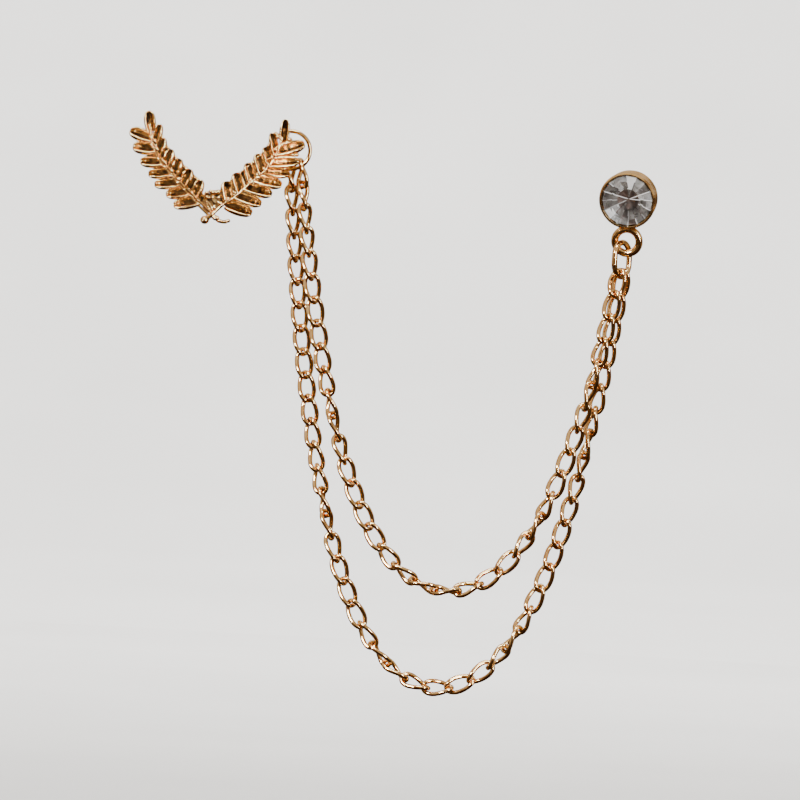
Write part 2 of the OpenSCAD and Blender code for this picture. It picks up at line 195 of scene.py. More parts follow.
def upright_ring(t, radius, y):
    """Points of a circle about Y, at the angles t."""
    return np.stack([radius * np.cos(t), np.full(len(t), y), radius * np.sin(t)], 1)


def between(p, q, t):
    """The (x, z) point that lies t of the way from p to q."""
    return p[0] + (q[0] - p[0]) * t, p[1] + (q[1] - p[1]) * t


def round_path(points, per_step, closed=False):
    """A curve through the points, with that many steps between each two."""
    p = np.asarray(points, float)
    n = len(p)
    out = []
    for i in range(n if closed else n - 1):
        if closed:
            a, b, c, d = p[i - 1], p[i], p[(i + 1) % n], p[(i + 2) % n]
        else:
            a, b, c, d = p[max(i - 1, 0)], p[i], p[i + 1], p[min(i + 2, n - 1)]
        for t in np.arange(per_step) / per_step:
            out.append(0.5 * (2 * b + (c - a) * t + (2 * a - 5 * b + 4 * c - d) * t**2
                              + (3 * b - a - 3 * c + d) * t**3))
    if not closed:
        out.append(p[-1])
    return np.array(out)


# Meshes
def grid_faces(rows, columns, closed_rows=False):
    """Quads of rings of points; each ring is closed, the rows only where asked."""
    faces = []
    for i in range(rows if closed_rows else rows - 1):
        j = (i + 1) % rows
        for k in range(columns):
            m = (k + 1) % columns
            faces.append((i * columns + k, i * columns + m, j * columns + m, j * columns + k))
    return faces


def turn_outwards(mesh):
    """Turns every face of the mesh outwards."""
    work = bmesh.new()
    work.from_mesh(mesh)
    bmesh.ops.recalc_face_normals(work, faces=work.faces)
    work.to_mesh(mesh)
    work.free()


class Shell:
    """Points and faces gathered for one piece, in mm."""

    def __init__(self):
        self.points = []
        self.faces = []
        self.slots = []
        self.count = 0

    def add(self, points, faces, slots=()):
        """Adds a mesh; slots names materials for its first faces, and the others have slot 0."""
        points = np.asarray(points, float)
        self.points.append(points)
        self.faces += [tuple(i + self.count for i in f) for f in faces]
        self.slots += list(slots) + [0] * (len(faces) - len(slots))
        self.count += len(points)

    def rings(self, rings, closed=False, slots=0):
        """A tube through rings of points, its ends closed by fans; slots may name one a face."""
        rings = np.asarray(rings, float)
        rows, columns = rings.shape[:2]
        points = rings.reshape(-1, 3)
        faces = grid_faces(rows, columns, closed_rows=closed)
        slots = np.broadcast_to(slots, (rows, columns))[:len(faces) // columns]
        if not closed:
            points = np.vstack([points, rings[0].mean(0), rings[-1].mean(0)])
            last = (rows - 1) * columns
            a, b = rows * columns, rows * columns + 1
            faces += [((k + 1) % columns, k, a) for k in range(columns)]
            faces += [(last + k, last + (k + 1) % columns, b) for k in range(columns)]
        self.add(points, faces, slots.ravel().tolist())

    def build(self, name, materials, rounded=True, sharp_angle=None):
        """The piece: rounded ones are shaded smooth but at edges sharper than that angle."""
        mesh = bpy.data.meshes.new(name)
        mesh.from_pydata((np.vstack(self.points) * MM).tolist(), [], self.faces)
        for material in materials:
            mesh.materials.append(material)
        mesh.polygons.foreach_set("material_index", self.slots)
        mesh.validate()
        mesh.update()
        if rounded:
            turn_outwards(mesh)
            mesh.shade_smooth()
            mesh.set_sharp_from_angle(angle=math.radians(sharp_angle))
        piece = bpy.data.objects.new(name, mesh)
        bpy.context.scene.collection.objects.link(piece)
        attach(piece, "root")
        return piece


def wire_rings(spine, radius, sides, reference, closed=True):
    """Round section rings along a spine; reference holds a side vector for each point."""
    spine = np.asarray(spine, float)
    if closed:
        along = unit(np.roll(spine, -1, 0) - np.roll(spine, 1, 0))
    else:
        along = unit(np.gradient(spine, axis=0))
    side = unit(reference - along * (reference * along).sum(1, keepdims=True))
    other = np.cross(along, side)
    turn = full_turn(sides)
    return spine[:, None] + radius * (np.cos(turn)[None, :, None] * side[:, None]
                                      + np.sin(turn)[None, :, None] * other[:, None])


# Materials. Scales are in waves to a metre.
POLISH_SCALE = 900.0
RELIEF_DEPTH = 0.00005
GLASS_SOCKETS = {"Transmission Weight": 1.0, "IOR": 1.22, "Coat Weight": 0.3,
                 "Coat Roughness": 0.02, "Coat IOR": 1.5}


def new_material(name):
    """A material with its node tree and its shader."""
    material = bpy.data.materials.new(name)
    material.use_nodes = True
    tree = material.node_tree
    tree.nodes.clear()
    out = tree.nodes.new("ShaderNodeOutputMaterial")
    shader = tree.nodes.new("ShaderNodeBsdfPrincipled")
    tree.links.new(shader.outputs["BSDF"], out.inputs["Surface"])
    return material, tree, shader


def noise(tree, scale, detail, space="Object"):
    where = tree.nodes.new("ShaderNodeTexCoord")
    texture = tree.nodes.new("ShaderNodeTexNoise")
    texture.inputs["Scale"].default_value = scale
    texture.inputs["Detail"].default_value = detail
    tree.links.new(where.outputs[space], texture.inputs["Vector"])
    return texture.outputs["Fac"]


def ramp(tree, value, stops):
    """A colour for each value, from stops of (value, colour)."""
    node = tree.nodes.new("ShaderNodeValToRGB")
    spots = node.color_ramp.elements
    while len(spots) < len(stops):
        spots.new(0.5)
    for spot, (place, colour) in zip(spots, stops):
        spot.position = place
        spot.color = (*colour, 1)
    tree.links.new(value, node.inputs["Fac"])
    return node.outputs["Color"]


def span(tree, value, low, high):
    """A value from 0 to 1, spread from low to high."""
    node = tree.nodes.new("ShaderNodeMapRange")
    node.inputs["To Min"].default_value = low
    node.inputs["To Max"].default_value = high
    tree.links.new(value, node.inputs["Value"])
    return node.outputs["Result"]


def tone(tree, shader, scale, detail, stops):
    """Colours the surface in soft patches."""
    patches = noise(tree, scale, detail)
    tree.links.new(ramp(tree, patches, stops), shader.inputs["Base Color"])


def polish(tree, shader, scale, low, high):
    """Makes the surface's roughness uneven."""
    spots = noise(tree, scale, 2.0)
    tree.links.new(span(tree, spots, low, high), shader.inputs["Roughness"])


def gold(name, pale, deep, rough, bump, grain, patch=260.0):
    """Plated metal: two tones in patches, uneven polish and a fine cast or drawn surface."""
    material, tree, shader = new_material(name)
    shader.inputs["Metallic"].default_value = 1.0
    tone(tree, shader, patch, 3.0, [(0.3, deep), (0.7, pale)])
    polish(tree, shader, POLISH_SCALE, *rough)
    relief = tree.nodes.new("ShaderNodeBump")
    relief.inputs["Strength"].default_value = bump
    relief.inputs["Distance"].default_value = RELIEF_DEPTH
    tree.links.new(noise(tree, grain, 3.0), relief.inputs["Height"])
    tree.links.new(relief.outputs["Normal"], shader.inputs["Normal"])
    return material


def cut_glass():
    material, tree, shader = new_material("cut_glass")
    for socket, value in GLASS_SOCKETS.items():
        shader.inputs[socket].default_value = value
    tone(tree, shader, 200.0, 2.0, [(0.3, (0.95, 0.95, 0.97)), (0.7, (1.0, 0.99, 0.98))])
    polish(tree, shader, 700.0, 0.0, 0.02)
    return material


def foil(name, dark, pale, metallic, rough):
    """One tone of the foil behind the stone, a painted reflection of its facets."""
    material, tree, shader = new_material(name)
    shader.inputs["Metallic"].default_value = metallic
    tone(tree, shader, 900.0, 2.0, [(0.35, dark), (0.65, pale)])
    polish(tree, shader, 600.0, rough, rough + 0.15)
    return material


def pale_paper():
    material, tree, shader = new_material("pale_paper")
    tone(tree, shader, 6.0, 3.0, [(0.3, (0.74, 0.73, 0.71)), (0.7, (0.80, 0.79, 0.77))])
    shader.inputs["Roughness"].default_value = 0.85
    return material


# Metals: pale and deep tone, least and most roughness, strength and scale of the fine relief
CAST = gold("cast_gold", (0.98, 0.73, 0.38), (0.87, 0.53, 0.23), (0.06, 0.15), 0.6, 3500.0)
# The second cast metal is painted shade: a darker gold for the shaded side of the leaves'
# hollows, scattered flakes in them, and the fronts of the plates.
PAINTED_SHADE_GOLD = gold("cast_painted_shade", (0.60, 0.35, 0.14), (0.07, 0.03, 0.01), (0.1, 0.28), 0.9, 2600.0,
              patch=1100.0)
WIRE = gold("wire_gold", (0.98, 0.70, 0.36), (0.89, 0.53, 0.24), (0.04, 0.1), 0.1, 1800.0)
PIN = gold("pin_metal", (0.80, 0.54, 0.30), (0.68, 0.40, 0.19), (0.25, 0.4), 0.15, 1500.0)
GLASS = cut_glass()
# The foil's tones are painted reflections: dark, grey and light facets, and white painted glints.
FOIL_PAINTED_REFLECTIONS = [foil("foil_painted_dark", (0.016, 0.01, 0.008), (0.08, 0.05, 0.04), 0.6, 0.25),
         foil("foil_painted_grey", (0.07, 0.062, 0.056), (0.21, 0.195, 0.185), 0.6, 0.2),
         foil("foil_painted_light", (0.28, 0.27, 0.265), (0.60, 0.60, 0.60), 0.5, 0.2),
         foil("foil_painted_glint", (0.95, 0.95, 0.97), (1.0, 1.0, 1.0), 0.0, 0.4)]


# Strands of twisted links
def ring_point(degrees):
    """A point on the wire's middle of the jump ring, that many degrees round from its foot."""
    t = math.radians(degrees)
    return RING_CENTRE + RING_RADIUS * np.array([math.sin(t), 0, -math.cos(t)])


def oval_point(degrees):
    """The same for the oval ring."""
    t, turn = math.radians(degrees), math.radians(OVAL_TURN)
    return OVAL_CENTRE + np.array([OVAL_ARC * math.sin(t) * math.cos(turn),
                                   OVAL_ARC * math.sin(t) * math.sin(turn),
                                   -OVAL_STRAIGHT - OVAL_ARC * math.cos(t)])


def hang(p, q, length):
    """Hanging curve z = z0 + a cosh((x - x0) / a) of that length: (a, x0, z0)."""
    d, h = q[0] - p[0], q[2] - p[2]
    want = math.sqrt(length**2 - h**2) / d
    low, high = 1e-6, 20.0
    for _ in range(HANG_ROUNDS):
        u = (low + high) / 2
        if math.sinh(u) / u < want:
            low = u
        else:
            high = u
    a = d / (2 * low)
    x0 = (p[0] + q[0]) / 2 - a * math.asinh(h / (2 * a * math.sinh(low)))
    return a, x0, p[2] - a * math.cosh((p[0] - x0) / a)


def hooks(start, end, n, depth):
    """The n + 1 points where links meet, hung between start and end; depth is y in the middle."""
    i = np.arange(n + 1)
    y = np.where(i < n / 2, start[1] + (depth - start[1]) * smooth(i / LEFT_RAMP),
                 end[1] + (depth - end[1]) * smooth((n - i) / RIGHT_RAMP))
    s = np.concatenate([[0], np.cumsum(np.sqrt(LINK_HOOK**2 - np.diff(y)**2))])
    a, x0, z0 = hang(start, end, s[-1])
    x = x0 + a * np.arcsinh((a * math.sinh((start[0] - x0) / a) + s) / a)
    return np.stack([x, y, z0 + a * np.cosh((x - x0) / a)], 1)


def link(shell, p, q, roll, seam):
    """One twisted oval of round wire, open by a hair where its ends meet."""
    along = unit(q - p)
    front = np.array([0.0, -1.0, 0.0])
    front = unit(front - along * along.dot(front))
    side = np.cross(front, along)
    t = open_turn(seam, math.degrees(LINK_GAP / 2 / LINK_HALF_LENGTH), LINK_STEPS)
    u = LINK_HALF_LENGTH * power_of(np.cos(t), 2 / LINK_FULLNESS)
    w = LINK_HALF_WIDTH * power_of(np.sin(t), 2 / LINK_FULLNESS)
    angle = np.radians(roll - LINK_TWIST * u / (2 * LINK_HALF_LENGTH))[:, None]
    spine = ((p + q) / 2 + u[:, None] * along
             + w[:, None] * (np.cos(angle) * side + np.sin(angle) * front))
    face = np.cos(angle) * front - np.sin(angle) * side
    shell.rings(wire_rings(spine, LINK_WIRE / 2, WIRE_SIDES, face, closed=False))


def strand(name, links, hang_from, rolls):
    """A strand between the two rings, each link rolled as the table says."""
    on_ring, on_oval, depth = hang_from
    up = np.array([0, 0, 1.0])
    at = hooks(ring_point(on_ring) + LEFT_LIFT * up, oval_point(on_oval) + RIGHT_LIFT * up,
               links, depth)
    table = np.array(rolls, float)
    shell = Shell()
    for i in range(links):
        roll = np.interp(i + 1, table[:, 0], table[:, 1])
        seam = LINK_SEAM + (0 if random.random() < 0.5 else 180)
        link(shell, at[i], at[i + 1], roll, seam)
    piece = shell.build(name + "_links", [WIRE], sharp_angle=50)
    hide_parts(name)


strand("outer_chain", OUTER_LINKS, OUTER_HANG, OUTER_ROLLS)
strand("inner_chain", INNER_LINKS, INNER_HANG, INNER_ROLLS)


# The two plain rings, each with its closing seam
def open_ring(name, spine, wire, face):
    """A ring of round wire; face is the side vector of all its points."""
    reference = np.tile(face, (len(spine), 1))
    shell = Shell()
    shell.rings(wire_rings(spine, wire / 2, RING_SIDES, reference, closed=False))
    piece = shell.build(name + "_wire", [WIRE], sharp_angle=50)
    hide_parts(name)


def jump_ring():
    t = open_turn(*RING_SEAM, RING_STEPS)
    spine = RING_CENTRE + upright_ring(t, RING_RADIUS, 0)
    open_ring("jump_ring", spine, RING_WIRE, [0.0, 1.0, 0.0])


def stud_ring():
    turn = math.radians(OVAL_TURN)
    t = open_turn(*OVAL_SEAM, OVAL_STEPS)
    x = OVAL_ARC * np.cos(t)
    z = OVAL_ARC * np.sin(t) + OVAL_STRAIGHT * np.clip(OVAL_EASE * np.sin(t), -1, 1)
    spine = OVAL_CENTRE + np.stack([x * math.cos(turn), x * math.sin(turn), z], 1)
    open_ring("stud_ring", spine, OVAL_WIRE, [-math.sin(turn), math.cos(turn), 0.0])


jump_ring()
stud_ring()


# Leaf spray
OUTLINE = np.array([  # place along the leaf, half width there
    (0.0, 0.66), (0.08, 0.78), (0.2, 0.9), (0.34, 0.98), (0.5, 1.0), (0.68, 0.96),
    (0.82, 0.82), (0.92, 0.6), (0.97, 0.38), (1.0, 0.12),
])
# Sections of a leaf from its keel round by both rims: across and height, in half widths and
# depths. The first has even rims; the second a low far rim and a thick high near one.
EVEN_SECTION = np.array([
    (0, 0), (-0.55, 0.1), (-0.96, 0.45), (-1.0, 0.78), (-0.84, 1.0), (-0.6, 0.9),
    (-0.42, 0.55), (-0.22, 0.3), (-0.07, 0.24), (0, 0.38), (0.07, 0.24), (0.22, 0.3),
    (0.42, 0.55), (0.6, 0.9), (0.84, 1.0), (1.0, 0.78), (0.96, 0.45), (0.55, 0.1),
])
BANKED_SECTION = np.array([
    (0, 0), (-0.6, 0.05), (-0.98, 0.3), (-1.04, 0.6), (-0.9, 0.82), (-0.7, 0.74),
    (-0.52, 0.44), (-0.3, 0.28), (-0.15, 0.26), (-0.07, 0.42), (0.01, 0.24), (0.12, 0.28),
    (0.24, 0.62), (0.36, 1.04), (0.54, 1.32), (0.76, 1.34), (0.96, 1.14), (1.05, 0.78),
    (0.98, 0.3), (0.6, 0.05),
])
LEAF_ROWS = 16
LEAF_REACH = 0.98  # place of the last row, along the leaf
LEAF_CROWDING = 1.4  # the rows stand closer towards the tip, by this power
HOLLOW_HALF = 0.55  # half width of the hollow, in half widths of the leaf
HOLLOW_TOP = 0.6  # height of the hollow's edge, in depths of the leaf
RIM_TOP = 0.95  # height to which the hollow fills at the tip
KEEL = 0.08  # height of the leaf's underside
TIP_START = 0.72  # where the hollow starts to run out, along the leaf
TIP_RUN = 0.24  # and over what share of the leaf
TIP_FILL = 0.75  # share of its depth that fills
TIP_DEPTH = 0.5  # depth that is left at the tip
TIP_LIFT = 0.2  # how far the underside rises at the tip
VEIN_DEPTH = 0.05
VEIN_TURNS = 26  # radians of the ripple along the leaf
VEIN_SHIFT = 6  # radians by which the veins of two leaves differ at most
CAST_WOBBLE = 0.008
SHADE_EDGE = -0.1  # the hollow gets painted shade on the high rim's side of this
SHADE_FLAKES = 0.4  # share of the hollow's other side that gets painted shade, in scattered flakes


def leaf(shell, row, bank):
    """A cast leaf: a scoop with raised rims and a vein, the rim on the bank's side higher."""
    x0, z0, x1, z1, width, lift = row
    flat = unit([x1 - x0, 0, z1 - z0])
    base = np.array([x0, BACK_Y, z0]) - flat * LEAF_ROOT
    reach = np.array([x1, BACK_Y - lift, z1]) - base
    side = np.array([-flat[2], 0, flat[0]]) * width * LEAF_BREADTH / 2
    phase = VEIN_SHIFT * random.random()
    section = round_path(BANKED_SECTION * [bank, 1] if bank else EVEN_SECTION, 2, closed=True)
    across, tall = section.T
    hollow = (np.abs(across) < HOLLOW_HALF) & (tall > KEEL)
    low = hollow & (tall < HOLLOW_TOP)
    rows = []
    for at in LEAF_REACH - LEAF_REACH * (1 - np.linspace(0, 1, LEAF_ROWS))**LEAF_CROWDING:
        half = np.interp(at, OUTLINE[:, 0], OUTLINE[:, 1])
        ripple = VEIN_DEPTH * math.cos(at * VEIN_TURNS + phase) * low
        run_out = TIP_FILL * smooth((at - TIP_START) / TIP_RUN)
        fill = run_out * hollow * np.maximum(RIM_TOP - tall, 0)
        depth = TIP_DEPTH + (1 - TIP_DEPTH) * half
        height = LEAF_DEPTH * ((tall + ripple + fill) * depth + TIP_LIFT * (1 - half))
        rows.append(base + reach * at + np.outer(across, side) * half
                    - np.outer(height, [0, 1, 0]))
    rows = np.array(rows) + random.normal(0, CAST_WOBBLE, (len(rows), 1, 3))
    # The hollow gets painted shade, the darker gold, under the high rim and in scattered flakes
    # elsewhere
    shaded = across * (bank or 1) > SHADE_EDGE
    shade_flakes = random.random((LEAF_ROWS, len(section))) < SHADE_FLAKES
    shell.rings(rows, slots=(low & (shaded | shade_flakes)).astype(int))


def leaves(shell):
    for rows, bank in ((LEFT_INNER, -1), (LEFT_OUTER, 1), (RIGHT_INNER, 1), (RIGHT_OUTER, -1),
                       (TIP_LEAVES, 0)):
        for row in rows:
            leaf(shell, row, bank)


# Rods: a path of (x, z), how far it lies behind STEM_Y at both ends, and its width there. The
# left stem's halves and the edges of the plates have their paths from elsewhere.
RIGHT_ROD = (RIGHT_STEM, (-0.2, 0.2), (0.5, 0.3))
KNOB_ROD = ([(0.4, -1.6), (-0.45, -2.25), (-0.9, -2.6)], (-0.15, 0), (0.6, 1.0))
TAIL_ROD = ([(-0.1, -1.55), (0.75, -2.3), (1.7, -2.72), (2.6, -2.72)], (0.25, 0.15), (0.55, 0.4))
BAR_ROD = ([(-1.5, 1.15), (-0.3, 1.02), (0.8, 1.02), (2.2, 1.15)], (0.25, 0.25), (0.34, 0.34))
LEFT_HALF = ((0.05, 0.1), (0.44, 0.36))
PLATE_EDGE = ((0.45, 0.45), (0.3, 0.26))
ROD_STEPS = 5  # between two points of the path
ROD_TALL = 1.2  # its depth in widths
ROD_SIDES = 12
STEM_SPLIT = np.array([0.2, 0.2])  # how far the two halves of the left stem lie from its path
STEM_CLOSED = 0.35  # share of that left at the upper end


def rod(shell, path, depths, widths):
    """A tapering stem through (x, z) points."""
    line = round_path(path, ROD_STEPS)
    step = np.concatenate([[0], np.cumsum(np.linalg.norm(np.diff(line, axis=0), axis=1))])
    t = step / step[-1]
    y0, y1 = STEM_Y + depths[0], STEM_Y + depths[1]
    spine = np.stack([line[:, 0], y0 + (y1 - y0) * t, line[:, 1]], 1)
    along = unit(np.gradient(spine, axis=0))
    front = np.tile([0.0, -1.0, 0.0], (len(spine), 1))
    side = unit(np.cross(along, front))
    half = (widths[0] + (widths[1] - widths[0]) * t)[:, None, None] / 2
    turn = full_turn(ROD_SIDES)
    shell.rings(spine[:, None] + half * (np.cos(turn)[None, :, None] * side[:, None]
                + ROD_TALL * np.sin(turn)[None, :, None] * front[:, None]))


def stems(shell):
    """The left stem doubles towards the crossing, and the right one lies over it."""
    left = np.array(LEFT_STEM)
    fade = np.linspace(1, STEM_CLOSED, len(left))[:, None]
    for sign in (-1, 1):
        rod(shell, left + sign * STEM_SPLIT * fade, *LEFT_HALF)
    rod(shell, *RIGHT_ROD)


# Beads: x, z and size of each. A stretch is in x, y and z.
BEAD_ROWS = 8
BEAD_SIDES = 12
BEAD_CAP = 80  # degrees from its middle at which its rings end
KNOB_STRETCH = (1.05, 0.8, 0.98)
KNOB_CAP_STRETCH = (1.1, 0.7, 0.8)
TAIL_STRETCH = (1.15, 0.9, 0.8)
BRIDGE_Y = STEM_Y + 0.1
BRIDGE_STRETCH = (1.15, 0.9, 0.85)
TAIL_BEADS = [(0.6, -2.02, 0.9), (0.98, -2.36, 0.72), (1.5, -2.66, 0.85),
              (1.95, -2.85, 0.55), (2.4, -2.76, 0.78), (2.85, -2.6, 0.62)]
BRIDGE_BEADS = [(-0.75, 1.75, 0.62), (-0.1, 1.98, 0.7), (0.55, 1.78, 0.66),
                (1.15, 2.05, 0.7), (1.6, 1.6, 0.55), (-1.2, 1.45, 0.5)]


def bead(shell, centre, size, stretch=(1, 1, 1)):
    """A rounded grain."""
    t = full_turn(BEAD_SIDES)
    shell.rings([centre + upright_ring(t, np.cos(a), np.sin(a)) * size / 2 * np.array(stretch)
                 for a in np.radians(np.linspace(-BEAD_CAP, BEAD_CAP, BEAD_ROWS))])


def uneven(sizes):
    """A size drawn at random: sizes holds the least and how much is added at most."""
    least, added = sizes
    return least + added * random.random()


def knob_and_tail(shell):
    """The knob at the end of the left stem, and the tail with its small beads."""
    rod(shell, *KNOB_ROD)
    bead(shell, (-0.85, STEM_Y - 0.05, -2.62), 1.4, KNOB_STRETCH)
    bead(shell, (-1.05, STEM_Y - 0.3, -2.8), 0.8, KNOB_CAP_STRETCH)
    rod(shell, *TAIL_ROD)
    for x, z, size in TAIL_BEADS:
        bead(shell, (x, STEM_Y, z), size, TAIL_STRETCH)


# Thin plates of the casting behind the leaves, their fronts in painted shade: stem, leaves,
# how far along them the plate reaches, and whether its edge has beads
PLATES = [(LEFT_STEM, LEFT_INNER, 0.82, True), (RIGHT_STEM, RIGHT_INNER, 0.78, True),
          (LEFT_STEM, LEFT_OUTER, 0.5, False), (RIGHT_STEM, RIGHT_OUTER, 0.5, False)]
PLATE_STEPS = 24
PLATE_BACK = 0.16  # its faces lie so far in front of BACK_Y, so that the leaves' keels show
PLATE_FRONT = 0.42
PLATE_CURVE = 4  # steps of its edges between two points
EDGE_BEADS = (0.3, 0.5, 0.7)  # places between two leaves' tips
EDGE_BEAD_Y = BACK_Y - 0.55
EDGE_BEAD_SIZES = (0.4, 0.16)  # the least size, and how much is added at most
EDGE_STRETCH = (1, 0.8, 1.2)
# The web between the stems: two lines of (x, z), with a plate between them, its front in painted
# shade
WEB_PLATES = [
    ([(-2.6, 0.9), (-1.3, -0.35), (0.1, -1.6)], [(-1.6, 1.6), (0.1, 1.75), (0.3, -1.6)]),
    ([(2.7, 0.6), (1.5, -0.4), (0.2, -1.6)], [(1.9, 1.7), (0.1, 1.75), (0.1, -1.6)]),
]


def evenly(line, n):
    """n points along a line of (x, z) points."""
    at, every = np.linspace(0, len(line) - 1, n), np.arange(len(line))
    return np.stack([np.interp(at, every, np.asarray(line)[:, k]) for k in (0, 1)], 1)


def plate(shell, low, high):
    """A thin sheet between two lines of (x, z) points, with painted shade on its front."""
    back, front = BACK_Y - PLATE_BACK, BACK_Y - PLATE_FRONT
    rings = [[(p[0], back, p[1]), (q[0], back, q[1]), (q[0], front, q[1]), (p[0], front, p[1])]
             for p, q in zip(evenly(low, PLATE_STEPS), evenly(high, PLATE_STEPS))]
    shell.rings(rings, slots=[0, 0, 1, 0])


def leaf_plates(shell):
    """The plates behind the leaves, with a rod and beads along the edges that show."""
    for stem, leaf_rows, reach, beaded in PLATES:
        tips = [between(row[:2], row[2:4], reach) for row in leaf_rows]
        plate(shell, round_path(stem[1:-1], PLATE_CURVE), round_path(tips, PLATE_CURVE))
        if beaded:
            rod(shell, tips, *PLATE_EDGE)
            for p, q in zip(tips, tips[1:]):
                for t in EDGE_BEADS:
                    x, z = between(p, q, t)
                    bead(shell, (x, EDGE_BEAD_Y, z), uneven(EDGE_BEAD_SIZES), EDGE_STRETCH)


# The crumpled face of the web
WEB_ACROSS = 9  # points across it
WEB_UP = 8  # and up it
WEB_X = 0.2  # of its middle
WEB_FOOT = -1.3  # z of its lower edge
WEB_HEIGHT = 2.2
WEB_POINT = -1.5  # z at which its half width is WEB_HALF
WEB_HALF = 0.12
WEB_GROWTH = 1.25 / 2.4  # of the half width, for each mm up
WEB_FACE_Y = BACK_Y - 0.55
WEB_BACK_Y = BACK_Y - 0.3
WEB_MOVES = (0.04, 0.22, 0.05)  # how far its points are moved at random in x, y and z


def rough_web(shell):
    """Crumpled facets over the web between the stems."""
    points, faces = [], []
    for i in range(WEB_UP):
        z = WEB_FOOT + WEB_HEIGHT * i / (WEB_UP - 1)
        half = WEB_HALF + WEB_GROWTH * (z - WEB_POINT)
        for j in range(WEB_ACROSS):
            x = WEB_X + half * (2 * j / (WEB_ACROSS - 1) - 1)
            points.append((x + random.normal(0, WEB_MOVES[0]),
                           WEB_FACE_Y - random.random() * WEB_MOVES[1],
                           z + random.normal(0, WEB_MOVES[2])))
    for i in range(WEB_UP - 1):
        for j in range(WEB_ACROSS - 1):
            a = i * WEB_ACROSS + j
            faces += [(a, a + 1, a + WEB_ACROSS),
                      (a + 1, a + WEB_ACROSS + 1, a + WEB_ACROSS)]
    # A back of the same outline closes it against the plate
    front = np.array(points)
    back = front.copy()
    back[:, 1] = WEB_BACK_Y
    n = len(front)
    edge = ([(0, j) for j in range(WEB_ACROSS)] + [(i, WEB_ACROSS - 1) for i in range(1, WEB_UP)]
            + [(WEB_UP - 1, j) for j in range(WEB_ACROSS - 2, -1, -1)]
            + [(i, 0) for i in range(WEB_UP - 2, 0, -1)])
    ids = [i * WEB_ACROSS + j for i, j in edge]
    side = [(a, b, b + n, a + n) for a, b in zip(ids, ids[1:] + ids[:1])]
    shell.add(np.vstack([front, back]), faces + [tuple(i + n for i in f) for f in faces] + side)


def web(shell):
    """The web, rough as cast, and the bar and the nuggets that bridge it."""
    for low, high in WEB_PLATES:
        plate(shell, np.array(low), np.array(high))
    rough_web(shell)
    rod(shell, *BAR_ROD)
    for x, z, size in BRIDGE_BEADS:
        bead(shell, (x, BRIDGE_Y, z), size, BRIDGE_STRETCH)


# Grains: (x and z of one end, x and z of the other, y, size). Beads: (place along it, scale)
GRAIN_BEADS = [(0.0, 1), (1.0, 1), (0.5, 0.9)]
GRAINS = [
    (0.69, -2.29, 1.16, -2.18, -3.2, 0.66), (1.51, -2.69, 1.83, -2.72, -3.1, 0.62),
    (2.24, -2.76, 2.95, -2.56, -3.1, 0.62), (12.5, 8.55, 13.3, 8.6, -3.3, 0.7),
    (12.7, 7.92, 13.59, 7.81, -3.5, 0.66), (11.13, 10.24, 12.05, 10.93, -2.9, 0.8),
    (11.08, 8.15, 12.05, 8.05, -3.2, 0.8), (9.76, 11.76, 10.1, 11.3, -3, 0.7),
    (0.22, 1.85, 1.09, 1.98, -3.1, 0.8), (-0.7, 1.08, 1.22, 1.11, -3, 0.6),
]


def grains(shell):
    """Nuggets of the casting, three beads in a row for each."""
    for x0, z0, x1, z1, y, size in GRAINS:
        for t, scale in GRAIN_BEADS:
            x, z = between((x0, z0), (x1, z1), t)
            bead(shell, (x, y, z), size * scale)


def buds(shell):
    """Small beads on both sides of the stems by turns, clear of the stems' ends."""
    for path in (LEFT_STEM, RIGHT_STEM):
        for i, (x, z) in enumerate(round_path(path, BUD_STEPS)[BUD_STEPS:-BUD_STEPS]):
            side = BUD_OFFSET if i % 2 else -BUD_OFFSET
            bead(shell, (x + side, STEM_Y, z + BUD_RISE), uneven(BUD_SIZES), BUD_STRETCH)


def boss(shell):
    """The round boss that carries the pin's pad."""
    t = full_turn(BOSS_SIDES)
    shell.rings([upright_ring(t, BOSS_RADIUS, y) for y in (BOSS_BACK, STEM_Y + BOSS_SUNK)])


def eyelet(shell):
    """The loop behind the right tip leaf that the jump ring runs through."""
    turn = math.radians(EYELET_PLACE)
    out = np.array([math.sin(turn), 0, math.cos(turn)])
    axis = np.array([math.cos(turn), 0, -math.sin(turn)])
    a = full_turn(EYELET_STEPS)
    radius = RING_WIRE / 2 + EYELET_WIRE / 2 + EYELET_PLAY
    spine = (RING_CENTRE + RING_RADIUS * out
             + radius * (np.cos(a)[:, None] * out + np.sin(a)[:, None] * [0, 1, 0]))
    rings = wire_rings(spine, EYELET_WIRE / 2, EYELET_SIDES, np.tile(axis, (len(a), 1)))
    shell.rings(rings, closed=True)


def spray():
    shell = Shell()
    leaves(shell)
    stems(shell)
    knob_and_tail(shell)
    leaf_plates(shell)
    web(shell)
    grains(shell)
    buds(shell)
    boss(shell)
    eyelet(shell)
    piece = shell.build("laurel_casting", [CAST, PAINTED_SHADE_GOLD], sharp_angle=60)
    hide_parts("laurel_spray")


spray()


# Stud
def stud_matrix():
    tilt = Matrix.Rotation(math.radians(90 + STUD_DOWN), 3, "X")
    turn = Matrix.Rotation(math.radians(-STUD_LEFT), 3, "Z")
    return np.array(turn @ tilt)


STUD_TURN = stud_matrix()


def in_stud(points):
    """Points in the stud's axes, placed on the part."""
    return np.asarray(points) @ STUD_TURN.T + STUD_FACE


